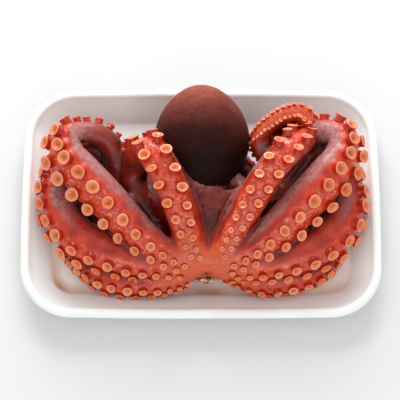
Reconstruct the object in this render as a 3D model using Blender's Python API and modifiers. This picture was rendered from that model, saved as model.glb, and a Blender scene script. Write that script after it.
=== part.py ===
"""A whole boiled octopus, curled up in a white foam tray.

Frame: the origin is the middle of the tray's underside, +X runs along the tray to the
right, +Y from the mouth side to the head side, +Z up. Lengths below are millimetres.
"""

import math

import bmesh
import bpy
import numpy as np
from mathutils import Matrix, Vector

MM = 0.001
GAP = 0.3  # clearance kept between the octopus and the tray

# Tray: a flat floor with rounded corners, sloping walls and a rolled lip.
FLOOR_LENGTH = 262.0
FLOOR_DEPTH = 158.0
FLOOR_CORNER = 16.0
SIDE_BOW = 2.0  # how far the middle of each side swells outwards
FOAM = 2.8  # thickness of the foam sheet
WALL_RUN = 19.0
WALL_TOP = 18.5
LIP_RUN = 9.5
LIP_CREST = 22.0
BED_LIP = 5.0  # the block that presses the octopus ends this far over the lip
BED_REACH = 60.0
BED_BOTTOM = -30.0
CORNER_STEPS = 5
SIDE_STEPS = 3

# Octopus.
HEAD_CENTRE = (1.0, 49.0, 46.5)
HEAD_HALF = (42.5, 51.0, 42.5)
HEAD_NARROWING = 0.12  # how much slimmer the far end of the bag is than its middle
NECK_START = (1.0, 30.0, 34.0)
CROWN_CENTRE = (4.0, -46.0, 27.0)
NECK_RADIUS = 26.0
CROWN_RADIUS = 15.0
CROWN_HALF = (18.7, 16.5, 15.0)
EYE_RADIUS = 11.0
EYE_PLACES = ((-33.0, 8.0, 41.0), (36.0, 8.0, 41.0))
FUNNEL = ((1.0, 2.0, 9.5), (-1.0, -22.0, 8.0), (2.0, -36.0, 7.0))
FUNNEL_RADIUS = 5.5
FUNNEL_END_RADIUS = 5.0
MOUTH_FLESH = ((4.0, -65.0, 14.0), (16.0, 10.5, 9.0))  # middle and half size

# By share of the arm's length: sucker width against the arm's largest, and in sucker
# widths the distance between the rows and the step from one sucker to the next.
SUCKER_SIZES = ((0.0, 0.42), (0.08, 0.5), (0.15, 0.65), (0.25, 0.82), (0.35, 0.95),
                (0.45, 1.0), (0.58, 0.97), (0.8, 0.48), (1.0, 0.16))
ROW_GAPS = ((0.0, 1.2), (0.12, 1.45), (0.25, 1.8), (0.45, 1.85), (1.0, 1.7))
SUCKER_STEPS = ((0.0, 0.85), (0.2, 0.95), (0.35, 0.8), (0.5, 0.66), (1.0, 0.66))
SLENDER = 0.078  # a slim stretch carries smaller ones: width over radius squared
ROW_LEAN = 0.35  # share of a row's turn round the arm that its cups lean with
# Cups lean upwards, and on the top arms backwards, by share of the length; leaning cups
# stand that much of their width further out.
UP_LEAN = 0.25
BACK_LEANS = ((0.0, 0.2), (0.2, 0.4), (0.35, 0.95), (0.55, 0.4), (1.0, 0.0))
LEAN_LIFT = 0.2
# On the arm with the raised coil the cups shrink where it starts.
COIL_SIZES = ((0.0, 1.0), (0.47, 1.0), (0.56, 0.6), (1.0, 0.6))
STALK_HEIGHT = 0.3  # in sucker widths, where the distance between the rows is counted
WIDEST_ROWS = 0.8  # sine of the furthest that a row goes round the arm
FINE_STEPS = 600
FIRST_SUCKER = 0.05  # share of the arm's length before the first one
LAST_SUCKER = 0.985
SUCKER_SIDES = 6
STALK_SHARE = 0.84  # stalk width over cup width
SUCKER_RISE = 0.52  # height over width
SUCKER_ROOT = 0.35  # how far it reaches into the arm, over width
SMALLEST_SUCKER = 7.8  # smaller ones are left to the finish

VOXEL = 2.8
SKIN_KEPT = 0.052  # share of the skin's faces that is kept
RING_POINTS = 44  # rings along an arm
CURL_CHANGE = 0.42  # share of the arm's length where its curl starts to turn to the tip's
CURL_BLEND = 0.25

# An arm is (x, y, z, radius) along its middle, from the mouth to the tip, then the axis
# that it curls round near the mouth and near the tip, and its largest sucker's width.
# The suckers sit on the outside of the curl.
TOP_LEFT = (
    ((3, -68, 32, 9), (-8, -51, 43, 12.5), (-16, -27, 55, 14), (-25, -5, 67, 14.5),
     (-33, 11, 74, 14), (-41, 23, 75, 13.5), (-48, 30, 66, 13), (-56, 31, 50, 12.5),
     (-62, 24, 36, 12.5), (-60, 11, 28, 12), (-51, 7, 23, 11),
     (-46, 17, 22, 10), (-46, 28, 23, 8)),
    (0.95, 0.25, 0.17), (0.95, 0.25, 0.17), 11.0,
)
TOP_RIGHT = (
    ((7, -68, 32, 9), (21, -52, 43, 12.5), (34, -30, 55, 13.5), (47, -10, 65, 14),
     (58.5, 6, 72, 14), (69.5, 20, 75, 13.5), (80, 31, 70, 12.5), (89, 41, 59, 11.5),
     (94, 50, 49, 10.5), (97, 57, 47, 9.8), (95, 65, 52, 9.5), (88, 71, 55, 9.2),
     (78, 70, 57, 9), (65, 63, 56, 8.8), (56, 55, 54, 8.6), (52, 45, 49, 8.8),
     (57, 37, 43, 9), (66, 41, 39, 9.5), (65, 54, 39, 9.5), (77, 61, 40, 9.5), (88, 58, 42, 7)),
    (0.95, -0.25, -0.17), (0.0, 0.98, 0.12), 10.7,
)
UPPER_LEFT = (
    ((1, -68, 30, 9), (-27, -58, 38, 12.5), (-55, -39, 46, 15.5), (-81, -13, 55, 17.5),
     (-104, 10, 60, 18), (-118, 28, 63, 16), (-119, 43, 64, 13), (-108, 51, 58, 10),
     (-92, 51, 53, 10), (-80, 43, 46, 10), (-76, 27, 38, 10), (-80, 12, 28, 9),
     (-75, -4, 22, 7.5), (-62, -10, 16, 5.5)),
    (0.50, 0.50, 0.68), (0.45, 0.36, 0.80), 12.6,
)
UPPER_RIGHT = (
    ((9, -68, 30, 9), (31, -60, 38, 12.5), (59, -43, 46, 16), (87, -18, 55, 18),
     (109, 6, 60, 18), (124, 27, 62, 15.5), (125, 44, 60, 13), (113, 53, 54, 11.5),
     (102, 50, 45, 11), (98, 37, 36, 10.5), (90, 25, 31, 11), (80, 13, 27, 11),
     (67, 6, 24, 10), (54, 12, 24, 9.5), (44, 24, 26, 9), (38, 36, 29, 7)),
    (0.45, -0.40, -0.80), (0.45, -0.36, -0.80), 12.4,
)
LOWER_LEFT = (
    ((1, -68, 26, 9), (-28, -64, 27, 12), (-58, -59, 29, 15), (-87, -50, 32, 17),
     (-111, -36, 33, 17.5), (-126, -15, 34, 16), (-131, 9, 31, 13), (-126, 31, 26, 11.5),
     (-112, 44, 26, 11.5), (-97, 46, 28, 11.5), (-88, 34, 24, 10), (-93, 17, 20, 9.5),
     (-104, 4, 18, 9), (-113, -7, 18, 7.5)),
    (0.12, 0.15, 1.0), (0.1, 0.1, 1.0), 12.0,
)
LOWER_RIGHT = (
    ((9, -68, 26, 9), (35, -65, 27, 12), (63, -61, 29, 15), (93, -52, 31, 17),
     (116, -37, 33, 17.5), (129, -16, 33, 16), (132, 8, 30, 13), (127, 29, 25, 11),
     (113, 43, 24, 11), (98, 44, 24, 10), (88, 33, 20, 9.5), (91, 17, 20, 9),
     (102, 4, 18, 8.5), (112, -6, 18, 7)),
    (0.12, -0.15, -1.0), (0.1, -0.1, -1.0), 12.0,
)
FRONT_LEFT = (
    ((-5, -66, 22, 8), (-24, -74, 18, 10), (-55, -76, 15.5, 10.5), (-82, -72, 14.5, 10.5),
     (-100, -61, 13, 10), (-115, -45, 12, 9), (-119, -26, 11, 8), (-112, -10, 10, 7),
     (-98, -10, 9, 5.5), (-93, -22, 9, 4)),
    (0.05, 0.09, 0.99), (0.0, 0.0, 1.0), 9.5,
)
FRONT_RIGHT = (
    ((14, -64, 23, 8), (33, -70, 19, 9.5), (55, -75, 15.5, 10.5), (82, -72, 14.5, 10.5),
     (103, -64, 13, 10), (118, -49, 12, 9), (122, -30, 11, 8), (115, -14, 10, 7),
     (101, -14, 9, 5.5), (96, -26, 9, 4)),
    (0.05, 0.20, -0.98), (0.0, 0.0, -1.0), 9.5,
)
ARMS = (FRONT_LEFT, LOWER_LEFT, UPPER_LEFT, TOP_LEFT,
        TOP_RIGHT, UPPER_RIGHT, LOWER_RIGHT, FRONT_RIGHT)
# Skin between neighbouring arms: its length along the arms and at its middle.
WEB_LENGTHS = ((62.0, 50.0), (112.0, 96.0), (126.0, 104.0), (112.0, 86.0),
               (126.0, 104.0), (112.0, 96.0), (62.0, 50.0))
WEB_HALF_THICKNESS = 4.0
WEB_DIPS = (4.0, 9.0, 27.0, 14.0, 27.0, 9.0, 4.0)  # below the line between the two arms
WEB_FALL = 1.5  # the dip is full at one over this share of the length
# How far behind an arm's middle the web leaves it, in arm radii, by distance from the mouth.
WEB_SET_BACK = ((0.0, -0.5), (40.0, -0.25), (90.0, 0.2))
WEB_ROWS = 12
WEB_COLUMNS = 10


def clear_scene():
    for old in list(bpy.data.objects):
        bpy.data.objects.remove(old)


def collection(name):
    made = bpy.data.collections.new(name)
    bpy.context.scene.collection.children.link(made)
    return made


def material(name, colour, roughness, coat=0.0):
    made = bpy.data.materials.new(name)
    made.use_nodes = True
    shader = made.node_tree.nodes["Principled BSDF"]
    shader.inputs["Base Color"].default_value = (*colour, 1.0)
    shader.inputs["Roughness"].default_value = roughness
    shader.inputs["Metallic"].default_value = 0.0
    shader.inputs["Coat Weight"].default_value = coat
    return made


def new_object(name, mesh, folder, finish=None):
    made = bpy.data.objects.new(name, mesh)
    folder.objects.link(made)
    if finish:
        mesh.materials.append(finish)
    return made


def mesh_from(bm, name):
    """The bmesh, drawn in millimetres, as a mesh in metres."""
    bmesh.ops.scale(bm, vec=Vector((MM, MM, MM)), verts=bm.verts)
    mesh = bpy.data.meshes.new(name)
    bm.to_mesh(mesh)
    bm.free()
    return mesh


# --- tray -------------------------------------------------------------------------------

def tray_outline(grow, height):
    """A closed rounded rectangle with bowed sides, grown outwards from the floor's edge."""
    half_x = FLOOR_LENGTH / 2 + grow
    half_y = FLOOR_DEPTH / 2 + grow
    corner = FLOOR_CORNER + grow
    points = []
    for quarter in range(4):
        sign_x = 1 if quarter in (0, 3) else -1
        sign_y = 1 if quarter in (0, 1) else -1
        for step in range(CORNER_STEPS + 1):
            angle = math.pi / 2 * (quarter + step / CORNER_STEPS)
            x = sign_x * (half_x - corner) + corner * math.cos(angle)
            y = sign_y * (half_y - corner) + corner * math.sin(angle)
            points.append([x, y])
        along_x = quarter in (0, 2)
        reach = (half_x if along_x else half_y) - corner
        for step in range(1, SIDE_STEPS):
            share = 1 - 2 * step / SIDE_STEPS
            if along_x:
                points.append([sign_x * share * reach, sign_y * half_y])
            else:
                points.append([sign_x * half_x, sign_y * share * reach])
    for point in points:
        bow_x = SIDE_BOW * (1 - (point[1] / half_y) ** 2)
        bow_y = SIDE_BOW * (1 - (point[0] / half_x) ** 2)
        point[0] += bow_x * point[0] / half_x
        point[1] += bow_y * point[1] / half_y
    return [Vector((x, y, height)) for x, y in points]


def tray_profile():
    """(distance outwards, height) of the tray's upper surface, from the floor to the lip."""
    yield 0.0, FOAM
    yield 1.8, FOAM + 0.6
    yield 4.6, FOAM + 3.2
    yield WALL_RUN, WALL_TOP
    yield WALL_RUN + 0.20 * LIP_RUN, LIP_CREST - 0.9
    yield WALL_RUN + 0.45 * LIP_RUN, LIP_CREST
    yield WALL_RUN + 0.75 * LIP_RUN, LIP_CREST - 0.5
    yield WALL_RUN + 0.94 * LIP_RUN, LIP_CREST - 2.4
    yield WALL_RUN + LIP_RUN, LIP_CREST - 5.0


def draw_out(levels):
    """A bmesh that starts as the floor's outline and is drawn out level by level."""
    bm = bmesh.new()
    place = bm.verts.layers.int.new("place")
    first = tray_outline(*levels[0])
    verts = [bm.verts.new(point) for point in first]
    for number, vert in enumerate(verts):
        vert[place] = number
    floor = bm.faces.new(verts)
    ring = list(floor.edges)
    for level in levels[1:]:
        outline = tray_outline(*level)
        drawn = bmesh.ops.extrude_edge_only(bm, edges=ring)["geom"]
        for vert in drawn:
            if isinstance(vert, bmesh.types.BMVert):
                vert.co = outline[vert[place]]
        ring = [edge for edge in drawn if isinstance(edge, bmesh.types.BMEdge)
                and edge.is_boundary]
        ring = [edge for edge in ring if all(is_at(v, outline[v[place]]) for v in edge.verts)]
    return bm, ring


def is_at(vert, point):
    return (vert.co - point).length < 1e-4


def build_tray(folder):
    bm, _ = draw_out(list(tray_profile()))
    bmesh.ops.recalc_face_normals(bm, faces=bm.faces)
    floor = max(bm.faces, key=lambda face: face.calc_area())
    if floor.normal.z < 0:
        bmesh.ops.reverse_faces(bm, faces=bm.faces)
    mesh = mesh_from(bm, "tray")
    mesh.shade_smooth()
    tray = new_object("tray", mesh, folder, material("white foam", (0.86, 0.86, 0.86), 0.55))
    sheet = tray.modifiers.new("foam sheet", "SOLIDIFY")
    sheet.thickness = FOAM * MM
    sheet.offset = -1.0
    sheet.use_even_offset = True
    return tray


def build_tray_bed(folder):
    """A block whose top is the tray's inside plus the gap; it presses the octopus flat."""
    levels = [(grow - GAP, height + GAP) for grow, height in tray_profile()]
    levels = [level for level in levels if level[0] < WALL_RUN + BED_LIP]
    levels.append((BED_REACH, levels[-1][1]))
    levels.append((BED_REACH, BED_BOTTOM))
    bm, rim = draw_out(levels)
    bmesh.ops.edgeloop_fill(bm, edges=rim)
    bmesh.ops.recalc_face_normals(bm, faces=bm.faces)
    bed = new_object("tray bed", mesh_from(bm, "tray bed"), folder)
    bed.hide_render = True
    bed.display_type = "WIRE"
    return bed


# --- octopus ----------------------------------------------------------------------------

def smooth_path(points, count):
    """count points on a centripetal Catmull-Rom curve through the given ones."""
    given = np.array(points, float)
    given = np.vstack((2 * given[0] - given[1], given, 2 * given[-1] - given[-2]))
    chords = np.linalg.norm(np.diff(given[:, :3], axis=0), axis=1)
    knots = np.concatenate(([0.0], np.cumsum(np.sqrt(chords))))
    made = []
    for knot in np.linspace(knots[1], knots[-2], count):
        first = int(np.clip(np.searchsorted(knots, knot, "right") - 2, 0, len(given) - 4))
        at = knots[first:first + 4]
        rows = list(given[first:first + 4])
        for low, high in (((0, 1, 2), (1, 2, 3)), ((0, 1), (2, 3)), ((1,), (2,))):
            rows = [
                ((at[b] - knot) * rows[k] + (knot - at[a]) * rows[k + 1]) / (at[b] - at[a])
                for k, (a, b) in enumerate(zip(low, high))
            ]
        made.append(rows[0])
    return np.array(made)


def unit(rows):
    return rows / np.linalg.norm(rows, axis=-1, keepdims=True)


def arm_frame(arm, count=160):
    """Middle line, radii, lengths so far, sucker-side and sideways directions of an arm."""
    points, root_axis, tip_axis, _ = arm
    path = smooth_path(points, count)
    middle = path[:, :3]
    along = unit(np.gradient(middle, axis=0))
    steps = np.linalg.norm(np.diff(middle, axis=0), axis=1)
    length = np.concatenate(([0.0], np.cumsum(steps)))
    turned = np.clip((length / length[-1] - CURL_CHANGE) / CURL_BLEND, 0.0, 1.0)
    turned = (turned * turned * (3 - 2 * turned))[:, None]
    axis = unit(np.array(root_axis)) * (1 - turned) + unit(np.array(tip_axis)) * turned
    outside = unit(np.cross(axis, along))
    sideways = np.cross(along, outside)
    return middle, path[:, 3], length, outside, sideways


def outer_length(middle, radii, outside):
    """Length so far along the sucker side, which is longer than the middle round a bend."""
    steps = np.linalg.norm(np.diff(middle + outside * radii[:, None], axis=0), axis=1)
    return np.concatenate(([0.0], np.cumsum(steps)))


def build_arm(arm, name):
    """A tapered round tube along the arm, with its ends closed, as a mesh in millimetres."""
    path = smooth_path(arm[0], RING_POINTS)
    curve = bpy.data.curves.new(name, "CURVE")
    curve.dimensions = "3D"
    curve.bevel_depth = 1.0
    curve.bevel_resolution = 3
    curve.use_fill_caps = True
    spline = curve.splines.new("POLY")
    spline.points.add(RING_POINTS - 1)
    for point, (x, y, z, radius) in zip(spline.points, path):
        point.co = (x, y, z, 1.0)
        point.radius = radius
    made = bpy.data.objects.new(name, curve)
    bpy.context.scene.collection.objects.link(made)
    bpy.context.view_layer.update()
    seen = made.evaluated_get(bpy.context.evaluated_depsgraph_get())
    mesh = bpy.data.meshes.new_from_object(seen)
    bpy.data.objects.remove(made)
    return mesh


def add_arms(bm):
    for number, arm in enumerate(ARMS):
        mesh = build_arm(arm, "arm %d" % number)
        bm.from_mesh(mesh)
        bpy.data.meshes.remove(mesh)
        tip = arm[0][-1]
        add_ball(bm, tip[:3], (tip[3] * 0.98,) * 3)
    bmesh.ops.remove_doubles(bm, verts=bm.verts, dist=0.05)


def add_ball(bm, centre, half):
    made = bmesh.ops.create_uvsphere(bm, u_segments=24, v_segments=16, radius=1.0)
    bmesh.ops.scale(bm, vec=Vector(half), verts=made["verts"])
    bmesh.ops.translate(bm, vec=Vector(centre), verts=made["verts"])
    return made["verts"]


def add_tube(bm, start, end, start_radius, end_radius):
    span = Vector(end) - Vector(start)
    turn = span.to_track_quat("Z", "Y").to_matrix().to_4x4()
    place = Matrix.Translation((Vector(start) + Vector(end)) / 2) @ turn
    bmesh.ops.create_cone(bm, cap_ends=True, segments=24, radius1=start_radius,
                          radius2=end_radius, depth=span.length, matrix=place)


def add_head(bm):
    """The bag of the body, slimmer at its far end, with eyes, neck and funnel."""
    bag = add_ball(bm, HEAD_CENTRE, HEAD_HALF)
    for vert in bag:
        far = (vert.co.y - HEAD_CENTRE[1]) / HEAD_HALF[1]
        slim = 1 - HEAD_NARROWING * max(far, 0.0) ** 1.5
        vert.co.x = HEAD_CENTRE[0] + (vert.co.x - HEAD_CENTRE[0]) * slim
        vert.co.z = HEAD_CENTRE[2] + (vert.co.z - HEAD_CENTRE[2]) * slim
    for place in EYE_PLACES:
        add_ball(bm, place, (EYE_RADIUS,) * 3)
    add_tube(bm, NECK_START, CROWN_CENTRE, NECK_RADIUS, CROWN_RADIUS)
    add_ball(bm, CROWN_CENTRE, CROWN_HALF)
    add_ball(bm, *MOUTH_FLESH)
    for start, end in zip(FUNNEL, FUNNEL[1:]):
        add_tube(bm, start, end, FUNNEL_RADIUS, FUNNEL_END_RADIUS)


def web_root(frame, distance):
    """Where the web leaves an arm: near its suckers at the mouth, then nearer its back."""
    middle, radii, length, outside, _ = frame
    set_back = radii * np.interp(length, *zip(*WEB_SET_BACK))
    back = middle - outside * set_back[:, None]
    return np.array([np.interp(distance, length, back[:, k]) for k in range(3)])


def add_web(bm, first, second, dip, side_length, middle_length):
    """Skin between two arms: a curved sheet from the mouth to a U-shaped edge."""
    made = bmesh.ops.create_grid(bm, x_segments=WEB_COLUMNS, y_segments=WEB_ROWS, size=0.5)
    frames = (arm_frame(first), arm_frame(second))
    for vert in made["verts"]:
        across = vert.co.x + 0.5
        out = vert.co.y + 0.5
        bulge = 4 * across * (1 - across)
        reach = side_length + (middle_length - side_length) * bulge ** 0.6
        a = web_root(frames[0], out * reach)
        b = web_root(frames[1], out * reach)
        place = Vector(a * (1 - across) + b * across)
        place.z -= dip * bulge * math.sin(math.pi / 2 * min(1.0, out * WEB_FALL))
        vert.co = place
    faces = list({face for vert in made["verts"] for face in vert.link_faces})
    bmesh.ops.recalc_face_normals(bm, faces=faces)
    bmesh.ops.solidify(bm, geom=faces, thickness=2 * WEB_HALF_THICKNESS)


def sucker_places(arm):
    """(place, direction, width) of every sucker, in two rows that take turns."""
    middle, radii, _, outside, sideways = arm_frame(arm, FINE_STEPS)
    length = outer_length(middle, radii, outside)
    share = FIRST_SUCKER
    side = 1
    on_top = arm in (TOP_LEFT, TOP_RIGHT)
    while share < LAST_SUCKER:
        at = int(np.searchsorted(length, share * length[-1]))
        width = arm[3] * np.interp(share, *zip(*SUCKER_SIZES))
        width = min(width, SLENDER * radii[at] ** 2)
        gap = width * np.interp(share, *zip(*ROW_GAPS))
        if arm is TOP_RIGHT:
            width *= np.interp(share, *zip(*COIL_SIZES))
        height = radii[at] + STALK_HEIGHT * width
        spread = side * math.asin(min(0.5 * gap / height, WIDEST_ROWS))
        facing = math.cos(spread) * outside[at] + math.sin(spread) * sideways[at]
        back_lean = np.interp(share, *zip(*BACK_LEANS)) if on_top else 0.0
        place = middle[at] + facing * (radii[at] + LEAN_LIFT * back_lean * width)
        lean = spread * ROW_LEAN
        facing = math.cos(lean) * outside[at] + math.sin(lean) * sideways[at]
        facing = unit(facing + np.array((0.0, back_lean, UP_LEAN)))
        yield Vector(place), Vector(facing), width
        share += width * np.interp(share, *zip(*SUCKER_STEPS)) / length[-1]
        side = -side


def build_suckers(folder):
    """Short stalks that widen to a cup, one closed body each."""
    bm = bmesh.new()
    for arm in ARMS:
        for place, facing, width in sucker_places(arm):
            if width < SMALLEST_SUCKER:
                continue
            root = SUCKER_ROOT * width
            depth = SUCKER_RISE * width + root
            turn = facing.to_track_quat("Z", "Y").to_matrix().to_4x4()
            spot = Matrix.Translation(place + facing * (depth / 2 - root)) @ turn
            bmesh.ops.create_cone(
                bm, cap_ends=True, segments=SUCKER_SIDES, radius1=STALK_SHARE * width / 2,
                radius2=width / 2, depth=depth, matrix=spot)
    suckers = new_object("suckers", mesh_from(bm, "suckers"), folder)
    suckers.hide_render = True
    suckers.display_type = "WIRE"
    return suckers


def build_octopus(folder, cutters):
    bm = bmesh.new()
    add_arms(bm)
    add_head(bm)
    for first, second, dip, lengths in zip(ARMS, ARMS[1:], WEB_DIPS, WEB_LENGTHS):
        add_web(bm, first, second, dip, *lengths)
    skin = material("boiled octopus skin", (0.42, 0.10, 0.07), 0.35, 0.4)
    octopus = new_object("octopus", mesh_from(bm, "octopus"), folder, skin)
    fuse = octopus.modifiers.new("one skin", "REMESH")
    fuse.mode = "VOXEL"
    fuse.voxel_size = VOXEL * MM
    relax = octopus.modifiers.new("soft creases", "SMOOTH")
    relax.factor = 0.5
    relax.iterations = 3
    thin = octopus.modifiers.new("fewer faces", "DECIMATE")
    thin.ratio = SKIN_KEPT
    join = octopus.modifiers.new("suckers", "BOOLEAN")
    join.operation = "UNION"
    join.solver = "EXACT"
    join.use_self = True
    join.object = build_suckers(cutters)
    press = octopus.modifiers.new("resting on the tray", "BOOLEAN")
    press.operation = "DIFFERENCE"
    press.solver = "EXACT"
    press.object = build_tray_bed(cutters)
    return octopus


def main():
    clear_scene()
    parts = collection("octopus in a tray")
    cutters = collection("cutters")
    build_tray(parts)
    build_octopus(parts, cutters)


main()
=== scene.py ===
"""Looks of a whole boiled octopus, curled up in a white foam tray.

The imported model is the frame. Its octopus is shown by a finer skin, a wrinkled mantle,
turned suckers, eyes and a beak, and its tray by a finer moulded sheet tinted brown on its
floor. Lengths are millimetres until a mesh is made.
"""
import math
import random

import bmesh
import bpy
import numpy as np
from mathutils import Matrix, Vector, kdtree, noise


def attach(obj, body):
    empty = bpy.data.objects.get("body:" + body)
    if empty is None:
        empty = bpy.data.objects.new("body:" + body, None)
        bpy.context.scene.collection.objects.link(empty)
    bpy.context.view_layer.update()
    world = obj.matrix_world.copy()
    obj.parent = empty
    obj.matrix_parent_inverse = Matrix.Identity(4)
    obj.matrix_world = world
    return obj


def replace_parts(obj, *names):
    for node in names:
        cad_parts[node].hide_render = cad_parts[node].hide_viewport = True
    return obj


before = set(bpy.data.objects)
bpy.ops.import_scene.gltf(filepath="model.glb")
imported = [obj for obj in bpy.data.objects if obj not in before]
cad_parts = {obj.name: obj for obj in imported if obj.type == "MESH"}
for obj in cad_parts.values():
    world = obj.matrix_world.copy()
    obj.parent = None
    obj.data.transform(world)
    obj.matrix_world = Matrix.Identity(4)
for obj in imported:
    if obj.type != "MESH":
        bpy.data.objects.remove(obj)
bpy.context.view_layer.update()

MM = 0.001
SEED = 11

# --- driving sizes ----------------------------------------------------------------------

# Tray.
FLOOR_LENGTH = 262.0
FLOOR_DEPTH = 158.0
FLOOR_CORNER = 16.0
SIDE_BOW = 2.0
FOAM = 2.8
WALL_RUN = 19.0
WALL_TOP = 18.5
LIP_RUN = 9.5
LIP_CREST = 22.0
FRONT_TINT = 0.25  # how much the front of the floor is tinted brown
# Brown marks along the floor's edge: (middle, half size, strength).
EDGE_MARKS = (((-127.0, -66.0), (8.0, 20.0), 0.9), ((-110.0, -78.0), (26.0, 7.0), 0.5),
          ((6.0, -80.0), (34.0, 6.0), 1.0), ((118.0, -78.0), (22.0, 6.0), 0.4))
CORNER_STEPS = 14
SIDE_STEPS = 16

# Mantle, the bag that is usually called the head.
MANTLE_CENTRE = (1.0, 49.0, 46.5)
MANTLE_HALF = (42.5, 51.0, 42.5)
MANTLE_NARROWING = 0.12
NECK_START = (1.0, 30.0, 34.0)
CROWN_CENTRE = (4.0, -46.0, 27.0)
NECK_RADIUS = 26.0
CROWN_RADIUS = 15.0
EYE_RADIUS = 11.0
EYE_PLACES = ((-33.0, 8.0, 41.0), (36.0, 8.0, 41.0))
FUNNEL = ((1.0, 2.0, 9.5), (-1.0, -22.0, 8.0), (2.0, -36.0, 7.0))
FUNNEL_RADIUS = 5.5

# Suckers, in two rows that take turns along each arm.
ROW_LEAN = 0.35  # share of a row's turn round the arm that its cups lean with
# Cups lean upwards, and on the top arms backwards, by share of the length; leaning cups
# stand that much of their width further out.
UP_LEAN = 0.25
BACK_LEANS = ((0.0, 0.2), (0.2, 0.4), (0.35, 0.95), (0.55, 0.4), (1.0, 0.0))
LEAN_LIFT = 0.2
# On the arm with the raised coil the cups shrink where it starts.
COIL_SIZES = ((0.0, 1.0), (0.47, 1.0), (0.56, 0.6), (1.0, 0.6))
SMALLEST_SUCKER = 2.2
SLENDER = 0.078  # a slim stretch carries smaller ones: width over radius squared
# By share of the arm's length: sucker width against the arm's largest, and in sucker
# widths the distance between the rows and the step from one sucker to the next.
SUCKER_SIZES = ((0.0, 0.42), (0.08, 0.5), (0.15, 0.65), (0.25, 0.82), (0.35, 0.95),
                (0.45, 1.0), (0.58, 0.97), (0.8, 0.48), (1.0, 0.16))
ROW_GAPS = ((0.0, 1.2), (0.12, 1.45), (0.25, 1.8), (0.45, 1.85), (1.0, 1.7))
SUCKER_STEPS = ((0.0, 0.85), (0.2, 0.95), (0.35, 0.8), (0.5, 0.66), (1.0, 0.66))

VOXEL = 1.6
RING_POINTS = 90
RING_SIDES = 28

# An arm is (x, y, z, radius) along its middle, from the mouth to the tip, then the axis
# that it curls round near the mouth and near the tip, and its largest sucker's width.
TOP_LEFT = (
    ((3, -68, 32, 9), (-8, -51, 43, 12.5), (-16, -27, 55, 14), (-25, -5, 67, 14.5),
     (-33, 11, 74, 14), (-41, 23, 75, 13.5), (-48, 30, 66, 13), (-56, 31, 50, 12.5),
     (-62, 24, 36, 12.5), (-60, 11, 28, 12), (-51, 7, 23, 11),
     (-46, 17, 22, 10), (-46, 28, 23, 8)),
    (0.95, 0.25, 0.17), (0.95, 0.25, 0.17), 11.0,
)
TOP_RIGHT = (
    ((7, -68, 32, 9), (21, -52, 43, 12.5), (34, -30, 55, 13.5), (47, -10, 65, 14),
     (58.5, 6, 72, 14), (69.5, 20, 75, 13.5), (80, 31, 70, 12.5), (89, 41, 59, 11.5),
     (94, 50, 49, 10.5), (97, 57, 47, 9.8), (95, 65, 52, 9.5), (88, 71, 55, 9.2),
     (78, 70, 57, 9), (65, 63, 56, 8.8), (56, 55, 54, 8.6), (52, 45, 49, 8.8),
     (57, 37, 43, 9), (66, 41, 39, 9.5), (65, 54, 39, 9.5), (77, 61, 40, 9.5), (88, 58, 42, 7)),
    (0.95, -0.25, -0.17), (0.0, 0.98, 0.12), 10.7,
)
UPPER_LEFT = (
    ((1, -68, 30, 9), (-27, -58, 38, 12.5), (-55, -39, 46, 15.5), (-81, -13, 55, 17.5),
     (-104, 10, 60, 18), (-118, 28, 63, 16), (-119, 43, 64, 13), (-108, 51, 58, 10),
     (-92, 51, 53, 10), (-80, 43, 46, 10), (-76, 27, 38, 10), (-80, 12, 28, 9),
     (-75, -4, 22, 7.5), (-62, -10, 16, 5.5)),
    (0.50, 0.50, 0.68), (0.45, 0.36, 0.80), 12.6,
)
UPPER_RIGHT = (
    ((9, -68, 30, 9), (31, -60, 38, 12.5), (59, -43, 46, 16), (87, -18, 55, 18),
     (109, 6, 60, 18), (124, 27, 62, 15.5), (125, 44, 60, 13), (113, 53, 54, 11.5),
     (102, 50, 45, 11), (98, 37, 36, 10.5), (90, 25, 31, 11), (80, 13, 27, 11),
     (67, 6, 24, 10), (54, 12, 24, 9.5), (44, 24, 26, 9), (38, 36, 29, 7)),
    (0.45, -0.40, -0.80), (0.45, -0.36, -0.80), 12.4,
)
LOWER_LEFT = (
    ((1, -68, 26, 9), (-28, -64, 27, 12), (-58, -59, 29, 15), (-87, -50, 32, 17),
     (-111, -36, 33, 17.5), (-126, -15, 34, 16), (-131, 9, 31, 13), (-126, 31, 26, 11.5),
     (-112, 44, 26, 11.5), (-97, 46, 28, 11.5), (-88, 34, 24, 10), (-93, 17, 20, 9.5),
     (-104, 4, 18, 9), (-113, -7, 18, 7.5)),
    (0.12, 0.15, 1.0), (0.1, 0.1, 1.0), 12.0,
)
LOWER_RIGHT = (
    ((9, -68, 26, 9), (35, -65, 27, 12), (63, -61, 29, 15), (93, -52, 31, 17),
     (116, -37, 33, 17.5), (129, -16, 33, 16), (132, 8, 30, 13), (127, 29, 25, 11),
     (113, 43, 24, 11), (98, 44, 24, 10), (88, 33, 20, 9.5), (91, 17, 20, 9),
     (102, 4, 18, 8.5), (112, -6, 18, 7)),
    (0.12, -0.15, -1.0), (0.1, -0.1, -1.0), 12.0,
)
FRONT_LEFT = (
    ((-5, -66, 22, 8), (-24, -74, 18, 10), (-55, -76, 15.5, 10.5), (-82, -72, 14.5, 10.5),
     (-100, -61, 13, 10), (-115, -45, 12, 9), (-119, -26, 11, 8), (-112, -10, 10, 7),
     (-98, -10, 9, 5.5), (-93, -22, 9, 4)),
    (0.05, 0.09, 0.99), (0.0, 0.0, 1.0), 9.5,
)
FRONT_RIGHT = (
    ((14, -64, 23, 8), (33, -70, 19, 9.5), (55, -75, 15.5, 10.5), (82, -72, 14.5, 10.5),
     (103, -64, 13, 10), (118, -49, 12, 9), (122, -30, 11, 8), (115, -14, 10, 7),
     (101, -14, 9, 5.5), (96, -26, 9, 4)),
    (0.05, 0.20, -0.98), (0.0, 0.0, -1.0), 9.5,
)
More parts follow.
